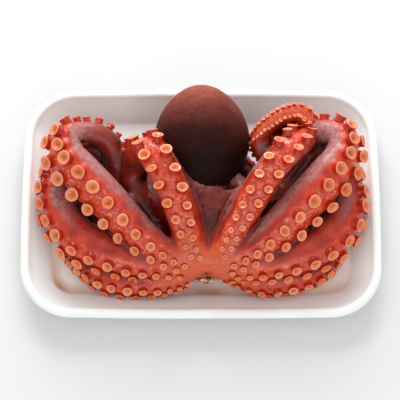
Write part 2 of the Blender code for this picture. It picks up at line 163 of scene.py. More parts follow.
ARMS = (FRONT_LEFT, LOWER_LEFT, UPPER_LEFT, TOP_LEFT,
        TOP_RIGHT, UPPER_RIGHT, LOWER_RIGHT, FRONT_RIGHT)
# Skin between neighbouring arms: its length along the arms and at its middle.
WEB_LENGTHS = ((62.0, 50.0), (112.0, 96.0), (126.0, 104.0), (112.0, 86.0),
               (126.0, 104.0), (112.0, 96.0), (62.0, 50.0))
WEB_HALF_THICKNESS = 4.5
WEB_DIPS = (4.0, 9.0, 27.0, 14.0, 27.0, 9.0, 4.0)  # below the line between the two arms
# How far behind an arm's middle the web leaves it, in arm radii, by distance from the mouth.
WEB_SET_BACK = ((0.0, -0.5), (40.0, -0.25), (90.0, 0.2))
WEB_FALL = 1.5  # the dip is full at one over this share of the length
WEB_ROWS = 40
WEB_COLUMNS = 30

MOUTH = (5.0, -72.0, 16.0)
MOUTH_FLESH = ((4.0, -65.0, 14.0), (16.0, 10.5, 9.0))  # middle and half size
CLEARANCE = 0.3  # between the octopus and the tray
PROFILE_STEPS = 26
TIP_STEPS = 6
WEB_ROUNDS = 110  # of softening where the web meets the arms
CREASE_ROUNDS = 60  # of smoothing to find what lies in a hollow, where shade is painted
BUMP_FROM = 3.5  # narrower suckers sit straight on the skin
BUMP_SHARE = 0.68  # half width of the swelling under a sucker, in sucker widths
BUMP_SINK = 0.78

# (radius, height) of a cup, in shares of half its width, from the foot of its stalk.
LARGE_CUP = (
    (0.98, -0.20), (0.84, 0.40), (0.98, 0.84), (1.01, 0.98), (0.88, 1.03), (0.60, 0.80),
    (0.30, 0.66), (0.0, 0.52),
)
SMALL_CUP = (
    (0.94, -0.30), (0.80, 0.24), (1.0, 0.64), (0.90, 0.80), (0.52, 0.64), (0.22, 0.50),
    (0.0, 0.44),
)
LARGE_FROM = 6.5
RIM_SHARE = 0.50

EYE_BALL = 4.6
LIP_HALF = (9.5, 4.2, 3.2)
LIP_SHIFT = (-2.5, -1.2, 3.0)
BEAK = (((1.7, -1.2, 5.4), (2.8, 2.4, 1.6)), ((-7.2, -1.8, 6.6), (2.4, 2.2, 1.8)))

# Camera and light.
CAMERA_LIFT = 70.0
CAMERA_DISTANCE = 1.6
FRAME_WIDTH = 0.36
AIM = (0.0, 0.0, 0.020)


# --- small tools ------------------------------------------------------------------------

def linear(hex_colour):
    """An sRGB hex colour as linear RGBA."""
    parts = [int(hex_colour[k:k + 2], 16) / 255 for k in (1, 3, 5)]
    made = [c / 12.92 if c <= 0.04045 else ((c + 0.055) / 1.055) ** 2.4 for c in parts]
    return (*made, 1.0)


def node(tree, kind, settings=None, out=0, **links):
    """Adds one shader node and gives one of its outputs. settings are its properties, and
    colour stops where it has them; links are values or sockets by input name, with _ for a
    space, or by number, as i0."""
    made = tree.nodes.new("ShaderNode" + kind)
    for key, value in (settings or {}).items():
        if key != "stops":
            setattr(made, key, value)
            continue
        bar = made.color_ramp.elements
        while len(bar) < len(value):
            bar.new(0.5)
        for element, (place, colour) in zip(bar, value):
            element.position = min(place, 1.0)
            element.color = linear(colour) if isinstance(colour, str) else (*[colour] * 3, 1.0)
    for key, value in links.items():
        named = not key[1:].isdigit()
        socket = made.inputs[key.replace("_", " ") if named else int(key[1:])]
        if isinstance(value, bpy.types.NodeSocket):
            tree.links.new(value, socket)
        else:
            socket.default_value = value
    return made.outputs[out]


def unit(rows):
    return rows / np.maximum(np.linalg.norm(rows, axis=-1, keepdims=True), 1e-9)


def smoothstep(low, high, values):
    share = np.clip((values - low) / (high - low), 0.0, 1.0)
    return share * share * (3 - 2 * share)


def mesh_from(bm, name):
    """The bmesh, drawn in millimetres, as a smooth-shaded mesh in metres."""
    bmesh.ops.scale(bm, vec=Vector((MM, MM, MM)), verts=bm.verts)
    mesh = bpy.data.meshes.new(name)
    bm.to_mesh(mesh)
    bm.free()
    mesh.shade_smooth()
    return mesh


def show(name, mesh, finish):
    """A piece of the octopus or the tray, riding on the one body."""
    made = bpy.data.objects.new(name, mesh)
    bpy.context.scene.collection.objects.link(made)
    mesh.materials.clear()
    mesh.materials.append(finish)
    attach(made, "root")
    return made


def places_of(mesh):
    """The mesh's points in millimetres, one row each."""
    rows = np.empty(len(mesh.vertices) * 3)
    mesh.vertices.foreach_get("co", rows)
    return rows.reshape(-1, 3) / MM


def move_to(mesh, places):
    mesh.vertices.foreach_set("co", (places * MM).ravel())
    mesh.update()


def normals_of(mesh):
    rows = np.empty(len(mesh.vertices) * 3)
    mesh.vertex_normals.foreach_get("vector", rows)
    return rows.reshape(-1, 3)


def store(mesh, name, values):
    """One number for each point, which the material reads by that name."""
    made = mesh.attributes.new(name, "FLOAT", "POINT")
    made.data.foreach_set("value", np.ascontiguousarray(values, dtype=np.float32))


def clumps(places, size, seed=0):
    """Soft noise of about -1..1 at each place; size is the width of its clumps."""
    shift = Vector((seed * 17.3, seed * 5.1, seed * 9.7))
    return np.array([noise.noise(Vector(p) / size + shift) for p in places])


# --- tray -------------------------------------------------------------------------------

def tray_outline(grow, height):
    """A closed rounded rectangle with bowed sides, grown outwards from the floor's edge."""
    half_x = FLOOR_LENGTH / 2 + grow
    half_y = FLOOR_DEPTH / 2 + grow
    corner = FLOOR_CORNER + grow
    points = []
    for quarter in range(4):
        sign_x = 1 if quarter in (0, 3) else -1
        sign_y = 1 if quarter in (0, 1) else -1
        for step in range(CORNER_STEPS + 1):
            angle = math.pi / 2 * (quarter + step / CORNER_STEPS)
            x = sign_x * (half_x - corner) + corner * math.cos(angle)
            y = sign_y * (half_y - corner) + corner * math.sin(angle)
            points.append([x, y])
        along_x = quarter in (0, 2)
        reach = (half_x if along_x else half_y) - corner
        for step in range(1, SIDE_STEPS):
            share = 1 - 2 * step / SIDE_STEPS
            if along_x:
                points.append([sign_x * share * reach, sign_y * half_y])
            else:
                points.append([sign_x * half_x, sign_y * share * reach])
    for point in points:
        bow_x = SIDE_BOW * (1 - (point[1] / half_y) ** 2)
        bow_y = SIDE_BOW * (1 - (point[0] / half_x) ** 2)
        point[0] += bow_x * point[0] / half_x
        point[1] += bow_y * point[1] / half_y
    return [Vector((x, y, height)) for x, y in points]


def tray_profile(count=PROFILE_STEPS):
    """(distance outwards, height) of the tray's upper surface, from the floor to the lip."""
    corners = (
        (0.0, FOAM), (1.8, FOAM + 0.6), (4.6, FOAM + 3.2), (WALL_RUN, WALL_TOP),
        (WALL_RUN + 0.20 * LIP_RUN, LIP_CREST - 0.9), (WALL_RUN + 0.45 * LIP_RUN, LIP_CREST),
        (WALL_RUN + 0.75 * LIP_RUN, LIP_CREST - 0.5),
        (WALL_RUN + 0.94 * LIP_RUN, LIP_CREST - 2.4), (WALL_RUN + LIP_RUN, LIP_CREST - 5.0),
    )
    path = smooth_path([(run, rise, 0.0, 0.0) for run, rise in corners], count)
    return path[:, 0], np.clip(path[:, 1], FOAM, LIP_CREST)


def tray_height(places):
    """Height of the tray's inside under each place, in millimetres."""
    runs, rises = tray_profile()
    corner = FLOOR_CORNER
    x = np.abs(places[:, 0])
    y = np.abs(places[:, 1])
    half_x = FLOOR_LENGTH / 2 + SIDE_BOW * np.clip(1 - (y / (FLOOR_DEPTH / 2)) ** 2, 0, 1)
    half_y = FLOOR_DEPTH / 2 + SIDE_BOW * np.clip(1 - (x / (FLOOR_LENGTH / 2)) ** 2, 0, 1)
    over_x = x - (half_x - corner)
    over_y = y - (half_y - corner)
    outside = np.hypot(np.maximum(over_x, 0), np.maximum(over_y, 0))
    inside = np.minimum(np.maximum(over_x, over_y), 0)
    return np.interp(outside + inside - corner, runs, rises, left=FOAM)


def build_tray():
    """The foam sheet is drawn out from its floor's outline, then thickened downwards."""
    runs, rises = tray_profile()
    bm = bmesh.new()
    place = bm.verts.layers.int.new("place")
    verts = [bm.verts.new(point) for point in tray_outline(runs[0], rises[0])]
    for number, vert in enumerate(verts):
        vert[place] = number
    ring = list(bm.faces.new(verts).edges)
    for run, rise in zip(runs[1:], rises[1:]):
        outline = tray_outline(run, rise)
        drawn = bmesh.ops.extrude_edge_only(bm, edges=ring)["geom"]
        fresh = {part for part in drawn if isinstance(part, bmesh.types.BMVert)}
        for vert in fresh:
            vert.co = outline[vert[place]]
        ring = [part for part in drawn if isinstance(part, bmesh.types.BMEdge)
                and all(vert in fresh for vert in part.verts)]
    bmesh.ops.recalc_face_normals(bm, faces=bm.faces)
    floor = max(bm.faces, key=lambda face: face.calc_area())
    if floor.normal.z < 0:
        bmesh.ops.reverse_faces(bm, faces=bm.faces)
    bmesh.ops.inset_region(bm, faces=[floor], thickness=FLOOR_CORNER * 0.5)
    mesh = mesh_from(bm, "tray_sheet")
    places = places_of(mesh)
    low = np.exp(-((places[:, 2] - FOAM) / 1.6) ** 2)
    damp = FRONT_TINT * low * smoothstep(-10.0, -75.0, places[:, 1])
    at_edge = np.abs(places[:, :2]) > np.array([FLOOR_LENGTH, FLOOR_DEPTH]) / 2 - 6
    for middle, half, strength in EDGE_MARKS:
        gap = (places[:, :2] - np.array(middle)) / np.array(half)
        damp += strength * low * at_edge.any(axis=1) * np.exp(-(gap ** 2).sum(axis=1))
    store(mesh, "damp", damp)
    tray = show("tray_sheet", mesh, foam_finish())
    sheet = tray.modifiers.new("foam sheet", "SOLIDIFY")
    sheet.thickness = FOAM * MM
    sheet.offset = -1.0
    sheet.use_even_offset = True
    rounded = tray.modifiers.new("rounded cut edge", "BEVEL")
    rounded.width = 0.8 * MM
    rounded.segments = 2
    rounded.limit_method = "ANGLE"
    rounded.angle_limit = math.radians(60)
    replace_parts(tray, "tray")


# --- arms -------------------------------------------------------------------------------

def smooth_path(points, count):
    """count points on a centripetal Catmull-Rom curve through the given ones."""
    given = np.array(points, float)
    given = np.vstack((2 * given[0] - given[1], given, 2 * given[-1] - given[-2]))
    chords = np.linalg.norm(np.diff(given[:, :3], axis=0), axis=1)
    knots = np.concatenate(([0.0], np.cumsum(np.sqrt(chords))))
    made = []
    for knot in np.linspace(knots[1], knots[-2], count):
        first = int(np.clip(np.searchsorted(knots, knot, "right") - 2, 0, len(given) - 4))
        at = knots[first:first + 4]
        rows = list(given[first:first + 4])
        for low, high in (((0, 1, 2), (1, 2, 3)), ((0, 1), (2, 3)), ((1,), (2,))):
            rows = [
                ((at[b] - knot) * rows[k] + (knot - at[a]) * rows[k + 1]) / (at[b] - at[a])
                for k, (a, b) in enumerate(zip(low, high))
            ]
        made.append(rows[0])
    return np.array(made)


def arm_frame(arm, count=160):
    """Middle line, radii, lengths so far, sucker-side and sideways directions of an arm."""
    points, root_axis, tip_axis, _ = arm
    path = smooth_path(points, count)
    middle = path[:, :3]
    along = unit(np.gradient(middle, axis=0))
    steps = np.linalg.norm(np.diff(middle, axis=0), axis=1)
    length = np.concatenate(([0.0], np.cumsum(steps)))
    turned = smoothstep(0.42, 0.67, length / length[-1])[:, None]
    axis = unit(np.array(root_axis)) * (1 - turned) + unit(np.array(tip_axis)) * turned
    outside = unit(np.cross(axis, along))
    sideways = np.cross(along, outside)
    return middle, path[:, 3], length, outside, sideways


def outer_length(middle, radii, outside):
    """Length so far along the sucker side, which is longer than the middle round a bend."""
    steps = np.linalg.norm(np.diff(middle + outside * radii[:, None], axis=0), axis=1)
    return np.concatenate(([0.0], np.cumsum(steps)))


def ring_place(middle, radius, outside, sideways):
    """Matrix that puts a unit circle round the middle line."""
    across = Vector(outside) * radius
    side = Vector(sideways) * radius
    along = Vector(outside).cross(Vector(sideways)) * radius
    place = Matrix((across, side, along)).transposed().to_4x4()
    place.translation = Vector(middle)
    return place


def add_arm(bm, arm):
    """A tapered tube drawn out ring by ring from the mouth, with a domed tip."""
    middle, radii, _, outside, sideways = arm_frame(arm, RING_POINTS)
    places = [ring_place(*row) for row in zip(middle, radii, outside, sideways)]
    onwards = Vector(middle[-1]) - Vector(middle[-2])
    onwards.normalize()
    for step in range(1, TIP_STEPS):
        angle = math.pi / 2 * step / TIP_STEPS
        ahead = Vector(middle[-1]) + onwards * radii[-1] * math.sin(angle)
        places.append(ring_place(ahead, radii[-1] * math.cos(angle), outside[-1],
                                 sideways[-1]))
    tube = bmesh.new()
    bmesh.ops.create_circle(tube, cap_ends=True, segments=RING_SIDES, radius=1.0,
                            matrix=places[0])
    root = cap = next(iter(tube.faces))
    for before, after in zip(places, places[1:]):
        drawn = bmesh.ops.extrude_face_region(tube, geom=[cap])["geom"]
        if cap is not root:
            bmesh.ops.delete(tube, geom=[cap], context="FACES_ONLY")
        cap = next(part for part in drawn if isinstance(part, bmesh.types.BMFace))
        bmesh.ops.transform(tube, matrix=after @ before.inverted(), verts=cap.verts)
    bmesh.ops.recalc_face_normals(tube, faces=tube.faces)
    join(bm, tube)


def join(bm, part):
    """Adds one bmesh to another and frees it."""
    mesh = bpy.data.meshes.new("part")
    part.to_mesh(mesh)
    part.free()
    bm.from_mesh(mesh)
    bpy.data.meshes.remove(mesh)


def add_ball(bm, centre, half, segments=32):
    ball = bmesh.new()
    place = Matrix.Translation(centre) @ Matrix.Diagonal((*half, 1.0))
    bmesh.ops.create_uvsphere(ball, u_segments=segments, v_segments=segments // 2,
                              radius=1.0, matrix=place)
    join(bm, ball)


def add_tube(bm, start, end, start_radius, end_radius):
    span = Vector(end) - Vector(start)
    turn = span.to_track_quat("Z", "Y").to_matrix().to_4x4()
    place = Matrix.Translation((Vector(start) + Vector(end)) / 2) @ turn
    bmesh.ops.create_cone(bm, cap_ends=True, segments=32, radius1=start_radius,
                          radius2=end_radius, depth=span.length, matrix=place)


def web_root(place_of, distance):
    """Where the web leaves an arm: near its suckers at the mouth, then nearer its back."""
    middle, radii, length, outside, _ = place_of
    set_back = radii * np.interp(length, *zip(*WEB_SET_BACK))
    back = middle - outside * set_back[:, None]
    return np.array([np.interp(distance, length, back[:, k]) for k in range(3)])


def add_web(bm, first, second, dip, side_length, middle_length):
    """Skin between two arms: a curved sheet from the mouth to a U-shaped edge."""
    sheet = bmesh.new()
    bmesh.ops.create_grid(sheet, x_segments=WEB_COLUMNS, y_segments=WEB_ROWS, size=0.5)
    frames = (arm_frame(first), arm_frame(second))
    for vert in sheet.verts:
        across = vert.co.x + 0.5
        out = vert.co.y + 0.5
        bulge = 4 * across * (1 - across)
        reach = side_length + (middle_length - side_length) * bulge ** 0.6
        a = web_root(frames[0], out * reach)
        b = web_root(frames[1], out * reach)
        place = Vector(a * (1 - across) + b * across)
        place.z -= dip * bulge * math.sin(math.pi / 2 * min(1.0, out * WEB_FALL))
        vert.co = place
    thicken(sheet, WEB_HALF_THICKNESS)
    join(bm, sheet)


def thicken(sheet, half):
    """An open sheet becomes a closed slab, half on each side of where it was."""
    bmesh.ops.extrude_face_region(sheet, geom=list(sheet.faces))
    sheet.normal_update()
    for vert in sheet.verts:
        vert.co += vert.normal * half
    bmesh.ops.recalc_face_normals(sheet, faces=sheet.faces)


# --- suckers ----------------------------------------------------------------------------

def sucker_places(arm):
    """(place, direction, width) of every sucker, in two rows that take turns."""
    middle, radii, _, outside, sideways = arm_frame(arm, 600)
    length = outer_length(middle, radii, outside)
    share = 0.05
    side = 1
    on_top = arm in (TOP_LEFT, TOP_RIGHT)
    while share < 0.985:
        width = arm[3] * np.interp(share, *zip(*SUCKER_SIZES))
        at = int(np.searchsorted(length, share * length[-1]))
        width = min(width, SLENDER * radii[at] ** 2)
        gap = width * np.interp(share, *zip(*ROW_GAPS))
        if arm is TOP_RIGHT:
            width *= np.interp(share, *zip(*COIL_SIZES))
        spread = side * math.asin(min(0.5 * gap / (radii[at] + 0.3 * width), 0.8))
        facing = math.cos(spread) * outside[at] + math.sin(spread) * sideways[at]
        back_lean = np.interp(share, *zip(*BACK_LEANS)) if on_top else 0.0
        place = middle[at] + facing * (radii[at] + LEAN_LIFT * back_lean * width)
        lean = spread * ROW_LEAN
        facing = math.cos(lean) * outside[at] + math.sin(lean) * sideways[at]
        facing = unit(facing + np.array((0.0, back_lean, UP_LEAN)))
        yield Vector(place), Vector(facing), width
        share += width * np.interp(share, *zip(*SUCKER_STEPS)) / length[-1]
        side = -side


def all_suckers():
    return [spot for arm in ARMS for spot in sucker_places(arm)
            if spot[2] >= SMALLEST_SUCKER]


def turned_cup(profile, steps):
    """A cup turned from (radius, height) points, from the foot of its stalk to its middle:
    its points, and how far along the profile each one lies, with the mesh."""
    bm = bmesh.new()
    along = bm.verts.layers.float.new("along")
    verts = [bm.verts.new((radius, 0.0, height)) for radius, height in profile]
    edges = [bm.edges.new(pair) for pair in zip(verts, verts[1:])]
    for number, vert in enumerate(verts):
        vert[along] = number / (len(verts) - 1)
    bmesh.ops.spin(bm, geom=verts + edges, axis=(0, 0, 1), cent=(0, 0, 0), steps=steps,
                   angle=2 * math.pi, use_merge=True)
    bmesh.ops.remove_doubles(bm, verts=bm.verts, dist=1e-5)
    bmesh.ops.recalc_face_normals(bm, faces=bm.faces)
    if sum(face.normal.z for face in bm.faces) < 0:
        bmesh.ops.reverse_faces(bm, faces=bm.faces)
    share = np.array([vert[along] for vert in bm.verts])
    mesh = bpy.data.meshes.new("cup")
    bm.to_mesh(mesh)
    bm.free()
    return mesh, share


def build_suckers(spots):
    """Every cup on its stalk, each one turned, leant and swollen a little differently."""
    draw = random.Random(SEED)
    large = turned_cup(LARGE_CUP, 12)
    small = turned_cup(SMALL_CUP, 9)
    bm = bmesh.new()
    along = []
    tones = []
    for place, facing, width in spots:
        mesh, share = large if width >= LARGE_FROM else small
        rows = np.empty(len(mesh.vertices) * 3)
        mesh.vertices.foreach_get("co", rows)
        rows = rows.reshape(-1, 3)
        radius = width / 2 * draw.uniform(0.94, 1.06)
        oval = draw.uniform(0.0, 0.13)
        turn = draw.uniform(0.0, math.pi)
        dish = draw.uniform(0.8, 1.12)
        angle = np.arctan2(rows[:, 1], rows[:, 0])
        wave = 1 + oval * 0.5 * np.cos(2 * (angle - turn))
        wave += 0.02 * np.cos(3 * angle + 5 * turn) + 0.015 * np.cos(5 * angle + 9 * turn)
        shaped = rows.copy()
        shaped[:, :2] *= wave[:, None]
        inner = share > RIM_SHARE
        rim_height = rows[:, 2].max()
        shaped[inner, 2] = rim_height - (rim_height - rows[inner, 2]) * dish
        shaped[:, 2] += 0.05 * np.cos(2 * angle + 3 * turn) * (share > 0.4)
        shaped *= radius
        lean = Vector((draw.gauss(0, 0.09), draw.gauss(0, 0.09), draw.gauss(0, 0.09)))
        aim = (facing + lean).normalized()
        place_at = Matrix.Translation(place) @ aim.to_track_quat("Z", "Y").to_matrix().to_4x4()
        turned = np.array(place_at)
        moved = shaped @ turned[:3, :3].T + turned[:3, 3]
        copy = mesh.copy()
        copy.vertices.foreach_set("co", moved.ravel())
        bm.from_mesh(copy)
        bpy.data.meshes.remove(copy)
        along.append(share)
        tones.append(np.full(len(share), draw.random()))
    finished = mesh_from(bm, "suckers")
    places = places_of(finished)
    floor = tray_height(places) + CLEARANCE
    places[:, 2] = np.maximum(places[:, 2], floor)
    move_to(finished, places)
    store(finished, "along", np.concatenate(along))
    store(finished, "tone", np.concatenate(tones))
    store(finished, "mouth", nearness_to_mouth(places))
    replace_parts(show("suckers", finished, sucker_finish()), "octopus")


# --- skin -------------------------------------------------------------------------------

def nearness_to_mouth(places):
    away = np.linalg.norm(places - np.array(MOUTH), axis=1)
    return 1 - smoothstep(12.0, 70.0, away)


def add_bumps(bm, spots):
    """A swelling under each sucker, which the skin's fusing blends into the arm."""
    for place, facing, width in spots:
        if width < BUMP_FROM:
            continue
        half = BUMP_SHARE * width
        ball = bmesh.new()
        made = bmesh.ops.create_icosphere(ball, subdivisions=2, radius=half)
        bmesh.ops.translate(ball, vec=place - facing * half * BUMP_SINK, verts=made["verts"])
        join(bm, ball)


def fused(bm, name):
    """One closed skin round everything in the bmesh, in millimetres there, as a mesh."""
    rough = mesh_from(bm, name)
    made = bpy.data.objects.new(name, rough)
    bpy.context.scene.collection.objects.link(made)
    fuse = made.modifiers.new("one skin", "REMESH")
    fuse.mode = "VOXEL"
    fuse.voxel_size = VOXEL * MM
    relax = made.modifiers.new("soft creases", "SMOOTH")
    relax.factor = 0.5
    relax.iterations = 4
    bpy.context.view_layer.update()
    seen = made.evaluated_get(bpy.context.evaluated_depsgraph_get())
    mesh = bpy.data.meshes.new_from_object(seen)
    bpy.data.objects.remove(made)
    bpy.data.meshes.remove(rough)
    return mesh


def neighbour_mean(mesh, rows):
    """For each point of the mesh, the mean of the rows of the points it is joined to."""
    pairs = np.empty(len(mesh.edges) * 2, int)
    mesh.edges.foreach_get("vertices", pairs)
    one, other = pairs.reshape(-1, 2).T
    count = np.maximum(np.bincount(pairs, minlength=len(rows)), 1)
    sums = [np.bincount(one, column[other], len(rows))
            + np.bincount(other, column[one], len(rows)) for column in rows.T]
    return np.stack(sums, axis=1) / count[:, None]


def relaxed(mesh, places, weight, rounds):
    """The places after each has moved towards the middle of its neighbours, round by round."""
    for _ in range(rounds):
        places = places + (neighbour_mean(mesh, places) - places) * weight[:, None]
    return places


def spread_over(mesh, values, rounds):
    """One number for each point, blurred over the mesh."""
    for _ in range(rounds):
        values = 0.5 * values + 0.5 * neighbour_mean(mesh, values[:, None])[:, 0]
    return values


def nearest_on_arms(places):
    """For each place: distance in arm radii, arm radius, sucker-side direction and position
    of the nearest stretch of arm, and 1 where that is an arm's end curled in under the others,
    which gets painted shade."""
    frames = [arm_frame(arm) for arm in ARMS]
    middle = np.concatenate([f[0] for f in frames])
    radii = np.concatenate([f[1] for f in frames])
    outside = np.concatenate([f[3] for f in frames])
    shaded_end = [smoothstep(low, low + 0.12, f[2] / f[2][-1])
              for f, low in zip(frames, (0.6, 0.6, 0.6, 0.6, 0.78, 0.6, 0.6, 0.6))]
    best = np.empty(len(places), int)
    own = (middle ** 2).sum(axis=1)
    for start in range(0, len(places), 4000):
        rows = places[start:start + 4000]
        gaps = (rows ** 2).sum(axis=1)[:, None] + own - 2 * rows @ middle.T
        best[start:start + 4000] = (gaps / radii ** 2).argmin(axis=1)
    away = np.linalg.norm(places - middle[best], axis=1) / radii[best]
    return away, radii[best], outside[best], middle[best], np.concatenate(shaded_end)[best]


def near_suckers(places, spots):
    """1 on the swelling of a sucker, down to 0 past its foot."""
    tree = kdtree.KDTree(len(spots))
    for number, (place, _, _) in enumerate(spots):
        tree.insert(place, number)
    tree.balance()
    found = []
    for place in places:
        score = 9.0
        for _, number, distance in tree.find_n(Vector(place), 3):
            score = min(score, distance / spots[number][2])
        found.append(score)
    return 1 - smoothstep(0.50, 0.95, np.array(found))


def build_skin(spots):
    """Arms, webs, head and swellings fused into one closed skin, softened where they meet."""
    bm = bmesh.new()
    for arm in ARMS:
        add_arm(bm, arm)
    for first, second, dip, lengths in zip(ARMS, ARMS[1:], WEB_DIPS, WEB_LENGTHS):
        add_web(bm, first, second, dip, *lengths)
    add_bumps(bm, spots)
    inner = [half * 0.93 for half in MANTLE_HALF]
    add_ball(bm, MANTLE_CENTRE, inner, 48)
    for place in EYE_PLACES:
        add_ball(bm, place, (EYE_RADIUS,) * 3)
    add_tube(bm, NECK_START, CROWN_CENTRE, NECK_RADIUS, CROWN_RADIUS)
    add_ball(bm, CROWN_CENTRE, (CROWN_RADIUS * 1.25, CROWN_RADIUS * 1.1, CROWN_RADIUS))
    add_ball(bm, *MOUTH_FLESH)
    for start, end in zip(FUNNEL, FUNNEL[1:]):
        add_tube(bm, start, end, FUNNEL_RADIUS, FUNNEL_RADIUS * 0.9)
    mesh = fused(bm, "skin")
    places = places_of(mesh)
    away, radius, outside, middle, shaded_end = nearest_on_arms(places)
    foot = near_suckers(places, spots)
    mouth = nearness_to_mouth(places)
    web = smoothstep(1.05, 1.3, away) * (1 - foot)
    soft = spread_over(mesh, web, 24)
    soft = np.clip(np.maximum(2.4 * soft, 0.9 * mouth), 0, 1) * (1 - 0.75 * foot)
    places = relaxed(mesh, places, 0.02 + 0.65 * soft, WEB_ROUNDS)
    move_to(mesh, places)
    normals = normals_of(mesh)
    from_middle = np.einsum("ij,ij->i", unit(places - middle), outside)
    by_normal = np.einsum("ij,ij->i", normals, outside)
    belly = from_middle * (1 - web) + by_normal * web
    folds = np.abs(clumps(places, 4.8, 1)) * smoothstep(0.55, 0.9, belly) * -1.5
    rough = clumps(places, 4.5, 1) * 0.25 + clumps(places, 1.9, 2) * 0.14
    places += normals * (folds + rough * np.clip(0.9 - belly * 0.5, 0.3, 1.2))[:, None]
    places[:, 2] = np.maximum(places[:, 2], tray_height(places) + CLEARANCE)
    move_to(mesh, places)
    mesh.shade_smooth()
    patches = clumps(places, 14.0, 6) * 0.18
    from_mouth = np.linalg.norm(places - np.array(MOUTH), axis=1)
    # Mauve on sides facing up and back, on high or far arms and on the web's raised edge:
    # partly the skin's own mauve, partly painted sheen of the light from behind.
    high = np.maximum(smoothstep(32.0, 48.0, middle[:, 2]),
                      smoothstep(122.0, 148.0, from_mouth))
    dusk = 0.45 * normals[:, 1] + 0.40 * normals[:, 2] - 0.5 * belly + patches
    dusk = smoothstep(0.06, 0.42, dusk) * (0.12 + 0.88 * high) * (1 - mouth)
    # Deep inside the webs the colour turns dark red: painted shade.
    deep = smoothstep(0.06, 0.6, spread_over(mesh, web, 30))
    edge = smoothstep(74.0, 94.0, from_mouth) * deep
    edge *= smoothstep(38.0, 50.0, places[:, 2])
    dusk = np.maximum(dusk, edge) * (1 - shaded_end)
    deep *= 1 - 0.85 * edge
    # Points lying below their smoothed neighbours, in folds and round the sucker swellings, get
    # painted shade.
    smooth = relaxed(mesh, places, np.full(len(places), 0.5), CREASE_ROUNDS)
    below = np.einsum("ij,ij->i", smooth - places, normals)
    store(mesh, "crease", smoothstep(0.1, 0.9, below))
    store(mesh, "belly", belly)
    store(mesh, "mouth", mouth * (1 - deep))
    store(mesh, "thin", 1 - smoothstep(6.0, 13.0, radius))
    store(mesh, "foot", foot)
    store(mesh, "dusk", dusk)
    # The web attribute carries painted shade: in the depths of the webs and on the curled-in
    # arm ends.
    store(mesh, "web", np.maximum(deep * (1 - smoothstep(0.75, 1.0, mouth)), shaded_end))
    print("skin", len(mesh.vertices), len(mesh.polygons))
    skin = show("skin", mesh, skin_finish())
    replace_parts(skin, "octopus")
    return skin


def build_mantle():
    """The bag of the body, slimmer at its far end and finely wrinkled."""
    bm = bmesh.new()
    bag = bmesh.ops.create_uvsphere(bm, u_segments=240, v_segments=150, radius=1.0)["verts"]
    turn = Matrix.Rotation(math.radians(90), 4, "X")
    bmesh.ops.transform(bm, matrix=turn, verts=bag)
    bmesh.ops.scale(bm, vec=Vector(MANTLE_HALF), verts=bag)
    for vert in bag:
        far = vert.co.y / MANTLE_HALF[1]
        slim = 1 - MANTLE_NARROWING * max(far, 0.0) ** 1.5
        vert.co.x *= slim
        vert.co.z *= slim
    bmesh.ops.translate(bm, vec=Vector(MANTLE_CENTRE), verts=bag)
    bmesh.ops.recalc_face_normals(bm, faces=bm.faces)
    mesh = mesh_from(bm, "mantle")
    places = places_of(mesh)
    normals = normals_of(mesh)
    stretched = places * np.array([1.0, 0.62, 1.0])
    wrinkles = np.abs(clumps(stretched, 4.2, 3)) * -0.45 + clumps(stretched, 2.0, 4) * 0.2
    broad = clumps(places, 30.0, 5) * 0.7
    places += normals * (wrinkles + broad)[:, None]
    places[:, 2] = np.maximum(places[:, 2], tray_height(places) + CLEARANCE)
    move_to(mesh, places)
    mantle = show("mantle", mesh, mantle_finish())
    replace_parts(mantle, "octopus")


def build_eyes():
    """Two cooked eyes in the swellings at the sides of the head."""
    bm = bmesh.new()
    for place in EYE_PLACES:
        out = Vector((math.copysign(1.0, place[0]), -0.15, 0.25)).normalized()
        centre = Vector(place) + out * (EYE_RADIUS - 2.2)
        add_ball(bm, centre, (EYE_BALL,) * 3, 24)
    eyes = show("eyes", mesh_from(bm, "eyes"), eye_finish())
    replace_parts(eyes, "octopus")


def build_mouth():
    """The lip round the mouth and the two halves of the beak between it."""
    lip = bmesh.new()
    bmesh.ops.create_uvsphere(lip, u_segments=56, v_segments=28, radius=1.0)
    bmesh.ops.scale(lip, vec=Vector(LIP_HALF), verts=lip.verts)
    bmesh.ops.translate(lip, vec=Vector(MOUTH) + Vector(LIP_SHIFT), verts=lip.verts)
    mesh = mesh_from(lip, "lip")
    places = places_of(mesh)
    frill = clumps(places, 1.6, 8) * 0.9 + clumps(places, 3.0, 9) * 0.8
    move_to(mesh, places + normals_of(mesh) * frill[:, None])
    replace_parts(show("lip", mesh, lip_finish()), "octopus")
    beak = bmesh.new()
    for shift, half in BEAK:
        add_ball(beak, Vector(MOUTH) + Vector(shift), half, 20)
    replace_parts(show("beak", mesh_from(beak, "beak"), beak_finish()), "octopus")


# --- finishes ---------------------------------------------------------------------------

BLEND = {"data_type": "RGBA"}
TIMES = {"operation": "MULTIPLY"}
PLUS_TIMES = {"operation": "MULTIPLY_ADD"}


def new_finish(name, roughness, ior=1.40):
    """A material of that name, its node tree and its shader."""
    made = bpy.data.materials.new(name)
    made.use_nodes = True
    shader = made.node_tree.nodes["Principled BSDF"]
    shader.inputs["Roughness"].default_value = roughness
    shader.inputs["IOR"].default_value = ior
    return made, made.node_tree, shader


def moist(shader, coat, coat_roughness, depth):
    """A wet film over flesh that lets some light in, redder the deeper it goes."""
    shader.inputs["Coat Weight"].default_value = coat
    shader.inputs["Coat Roughness"].default_value = coat_roughness
    shader.inputs["Subsurface Weight"].default_value = 0.12
    shader.inputs["Subsurface Radius"].default_value = (1.0, 0.3, 0.15)
    shader.inputs["Subsurface Scale"].default_value = depth * MM


